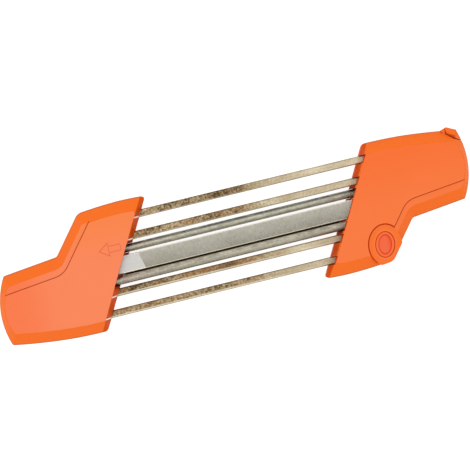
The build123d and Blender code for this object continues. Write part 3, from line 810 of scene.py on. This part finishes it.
def flat_file_steel():
    """Steel of the flat file: cut grey, and polished beyond the last tooth on the left."""
    finish = Finish("flat_cut_steel", metallic=0.9)
    along = finish.x + finish.y * FLAT_LEAN
    uncut = along.fade(UNCUT_END_X - 0.1 * MM, UNCUT_END_X + 0.1 * MM)
    clouds = finish.noise(11 * MM, 3.0, stretch=(0.5, 1.0, 1.0))
    leaning = finish.node("ShaderNodeCombineXYZ", None, {"X": along, "Y": finish.y, "Z": finish.z})
    specks = finish.noise(0.5 * MM, 3.0, roughness=0.7, place=leaning)
    streaks = finish.noise(0.8 * MM, 4.0, stretch=(1.0, 0.3, 1.0), roughness=0.7, place=leaning)
    cut_share = clouds * 0.5 + specks * 0.6 + streaks * 1.2 - 0.67
    # Painted light: a little lighter towards the far edge.
    cut_share = cut_share + finish.y * (FAR_EDGE_PAINTED_LIGHT / (FLAT_WIDTH / 2))
    cut = finish.blend(cut_share, srgb(130, 127, 114), srgb(185, 182, 170))
    polished_share = clouds * 0.5 + streaks * 0.9 - 0.2
    polished = finish.blend(polished_share, srgb(151, 149, 144), srgb(172, 171, 168))
    colour = finish.blend(uncut, cut, polished)
    # A painted highlight along both long edges.
    edge_highlight = abs(finish.y).fade(HIGHLIGHT_EDGE_Y, HIGHLIGHT_EDGE_Y - 0.3 * MM)
    colour = finish.blend(edge_highlight * 0.8, colour, PAINTED_HIGHLIGHT)
    rough = 0.36 + specks * 0.2 - uncut * 0.14
    finish.surface(colour, rough, specks * (1.0 - uncut), 0.02 * MM)
    return finish.material


flat_steel = flat_file_steel()
print("flat file steel ready")

# %% [markdown]
# ## Recipes for what repeats
#
# The teeth of a file repeat hundreds of times by one rule, so they are made with Geometry Nodes. A recipe
# is a node tree with named sizes as inputs. Its result is baked to a plain mesh, since the teeth never
# change and other programs don't know the tree.

# %% Recipe helper
class Recipe(Graph):
    """A Geometry Nodes tree under construction."""

    def __init__(self, name):
        super().__init__(bpy.data.node_groups.new(name, "GeometryNodeTree"))
        self.name = name
        self.sizes = {}
        kind = "NodeSocketGeometry"
        self.tree.interface.new_socket(name="Geometry", in_out="OUTPUT", socket_type=kind)
        self.entry = self.tree.nodes.new("NodeGroupInput")

    def size(self, name, value):
        """A named input with its value, as a field."""
        kind = "NodeSocketInt" if isinstance(value, int) else "NodeSocketFloat"
        socket = self.tree.interface.new_socket(name=name, in_out="INPUT", socket_type=kind)
        self.sizes[socket.identifier] = value
        return Field(self, self.entry.outputs[name])

    def point(self):
        """The x, y and z of each point."""
        return self.split(self.node("GeometryNodeInputPosition"))

    def move(self, geometry, x, y, z):
        """Each point of geometry put at x, y, z."""
        place = self.node("ShaderNodeCombineXYZ", None, {"X": x, "Y": y, "Z": z})
        return self.node("GeometryNodeSetPosition", None, {"Geometry": geometry, "Position": place})

    def bake(self, geometry, material):
        """Runs the tree once and returns its result as a plain mesh object at the origin."""
        real = self.node("GeometryNodeRealizeInstances", None, {"Geometry": geometry})
        dressed = self.node("GeometryNodeSetMaterial", None, {"Geometry": real, "Material": material})
        leave = self.tree.nodes.new("NodeGroupOutput")
        self.tree.links.new(dressed.socket, leave.inputs["Geometry"])
        holder_name = f"{self.name}_holder"
        holder = bpy.data.objects.new(holder_name, bpy.data.meshes.new(holder_name))
        bpy.context.scene.collection.objects.link(holder)
        modifier = holder.modifiers.new(self.name, "NODES")
        modifier.node_group = self.tree
        for identifier, value in self.sizes.items():
            modifier[identifier] = value
        graph = bpy.context.evaluated_depsgraph_get()
        mesh = bpy.data.meshes.new_from_object(holder.evaluated_get(graph))
        bpy.data.objects.remove(holder)
        mesh.name = self.name
        piece = bpy.data.objects.new(self.name, mesh)
        bpy.context.scene.collection.objects.link(piece)
        return piece


print("recipe helper ready")

# %% [markdown]
# ## Round files
#
# A chain file is cut in spirals that wind round it. Along the file each tooth is a saw tooth: a steep
# front and a long back. The tree makes a long cylinder with a ring of points every 0.15 mm, works out how
# far each point is into its tooth, and draws it in by that share of the cut. The ends outside the cut
# stay smooth, with a chamfer.

# %% Round files
FILE_LENGTH = 200.0 * MM
TOOTH_PITCH = 0.9 * MM
RING_STEP = 0.15 * MM
TOOTHED_HALF = 90.0 * MM
END_CHAMFER = 0.5 * MM
ROUND_SIDES = 28
SPIRAL_STARTS = 6


def round_file(name, axis_y, axis_z, material):
    """A round file with spiral teeth along X."""
    recipe = Recipe(name)
    length = recipe.size("Length", FILE_LENGTH)
    radius = recipe.size("Radius", ROUND_RADIUS)
    pitch = recipe.size("Tooth pitch", TOOTH_PITCH)
    depth = recipe.size("Cut depth", CUT_DEPTH)
    toothed = recipe.size("Toothed half length", TOOTHED_HALF)
    chamfer = recipe.size("End chamfer", END_CHAMFER)
    sides = recipe.size("Sides", ROUND_SIDES)
    rings = recipe.size("Rings", round(FILE_LENGTH / RING_STEP))
    starts = recipe.size("Spiral starts", SPIRAL_STARTS)
    bar = recipe.node(
        "GeometryNodeMeshCylinder",
        {"fill_type": "NGON"},
        {"Vertices": sides, "Side Segments": rings, "Radius": radius, "Depth": length},
    )
    across, up, along = recipe.point()
    tooth = (along / pitch + up.turn_from(across) * starts).fract()
    cut = tooth * abs(along).fade(toothed, toothed + pitch)
    to_end = (length / 2.0 - abs(along)).least(chamfer)
    scale = (radius - cut * depth - chamfer + to_end) / radius
    moved = recipe.move(bar, along, across * scale + axis_y, up * scale + axis_z)
    piece = recipe.bake(moved, material)
    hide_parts(name.replace("_toothed", ""))
    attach(piece, "guide")
    print(name, len(piece.data.polygons), "faces")


round_file("upper_round_file_toothed", *UPPER_AXIS, upper_round_steel)
round_file("lower_round_file_toothed", *LOWER_AXIS, lower_round_steel)

# %% [markdown]
# ## Flat file
#
# The flat file has straight teeth, all leaning the same way across it. A box that is cut into stations
# along its length is enough: every other station sinks by the depth of a cut and moves to the left, which
# gives each tooth a steep front and a long back. All stations are sheared to lean, except at the very
# ends. Four rows of points run across each face. The outer two make the narrow sides, which are smooth,
# with a small flat on each long edge.

# %% Flat file
FLAT_THICKNESS = 4.3 * MM
FLAT_MIDDLE_Z = 13.0 * MM
FLAT_PITCH = 0.56 * MM
FLAT_CUT = 0.09 * MM
FLAT_EDGE = 0.3 * MM
UNCUT_RIGHT_X = 92.0 * MM
LEAN_FREE = 4.0 * MM
OUTER_ROW_FROM = 0.4
CUT_SHIFT = 0.6


def flat_file(name, middle_z, material):
    """The flat file along X, with leaning teeth on both faces."""
    recipe = Recipe(name)
    length = recipe.size("Length", FILE_LENGTH)
    width = recipe.size("Width", FLAT_WIDTH)
    thickness = recipe.size("Thickness", FLAT_THICKNESS)
    depth = recipe.size("Cut depth", FLAT_CUT)
    lean = recipe.size("Lean", FLAT_LEAN)
    flat = recipe.size("Edge flat", FLAT_EDGE)
    uncut_left = recipe.size("Uncut up to", UNCUT_END_X)
    uncut_right = recipe.size("Uncut from", UNCUT_RIGHT_X)
    stations = recipe.size("Stations", 2 * round(FILE_LENGTH / FLAT_PITCH) + 1)
    block = recipe.node("ShaderNodeCombineXYZ", None, {"X": length, "Y": width, "Z": thickness})
    box = recipe.node(
        "GeometryNodeMeshCube",
        None,
        {"Size": block, "Vertices X": stations, "Vertices Y": 4, "Vertices Z": 2},
    )
    x, y, z = recipe.point()
    step = length / (stations - 1.0)
    count = ((x + length / 2.0) / step).nearest_whole()
    odd = (count / 2.0).fract() * 2.0
    cut_zone = x.above(uncut_left) * x.below(uncut_right)
    outer = abs(y).above(width * OUTER_ROW_FROM)
    inner_y = y.sign() * (width / 2.0 - flat)
    side_y = y * outer + inner_y * (1.0 - outer)
    half = thickness / 2.0 - flat * outer - odd * depth * cut_zone * (1.0 - outer)
    keep = abs(x).fade(length / 2.0 - LEAN_FREE, length / 2.0)
    leaned = x - side_y * lean * keep - odd * step * CUT_SHIFT * cut_zone
    moved = recipe.move(box, leaned, side_y, z.sign() * half + middle_z)
    piece = recipe.bake(moved, material)
    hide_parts("flat_file")
    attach(piece, "guide")
    print(name, len(piece.data.polygons), "faces")


flat_file("flat_file_toothed", FLAT_MIDDLE_Z, flat_steel)

# %% [markdown]
# ## Catch spring
#
# The catch goes down against a coil spring. The CAD coil keeps its length. A copy with its own mesh and
# the bright zinc stands for it here, in its place.


def catch_coil():
    """A copy of the CAD coil, with its own mesh and the bright zinc, in place of the hidden CAD node."""
    mesh = nodes["catch_spring"].data.copy()
    mesh.materials.clear()
    mesh.materials.append(fastener_zinc)
    coil = bpy.data.objects.new("catch_spring_coil", mesh)
    bpy.context.scene.collection.objects.link(coil)
    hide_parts("catch_spring")
    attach(coil, "guide")
    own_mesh(coil)


catch_coil()

# %% [markdown]
# ## Dress the CAD nodes
#
# Each of the CAD model's nodes keeps its shape and gets the finish of what it is made of.

# %% Dress
DRESS = {
    "left_rear_shell": left_orange,
    "left_front_shell": left_orange,
    "right_rear_shell": right_orange,
    "right_tray": right_orange,
    "right_swing_cover": right_orange,
    "release_catch": right_orange,
    "pivot_cap": cap_orange,
    "left_file_socket": seat_grey,
    "right_file_cradle": seat_grey,
    "right_file_saddle": seat_grey,
    "left_shell_screws": fastener_zinc,
    "right_shell_screws": fastener_zinc,
    "left_rod_pins": fastener_zinc,
    "right_rod_pins": fastener_zinc,
    "pivot_sleeve": fastener_zinc,
    "pivot_washer": fastener_zinc,
    "pivot_screw": fastener_zinc,
    "catch_spring": fastener_zinc,
    "upper_round_file": upper_round_steel,
    "lower_round_file": lower_round_steel,
    "flat_file": flat_steel,
    **rod_zincs,
}
for name, material in DRESS.items():
    for slot in nodes[name].material_slots:
        slot.material = material
print("dressed", len(DRESS), "nodes")
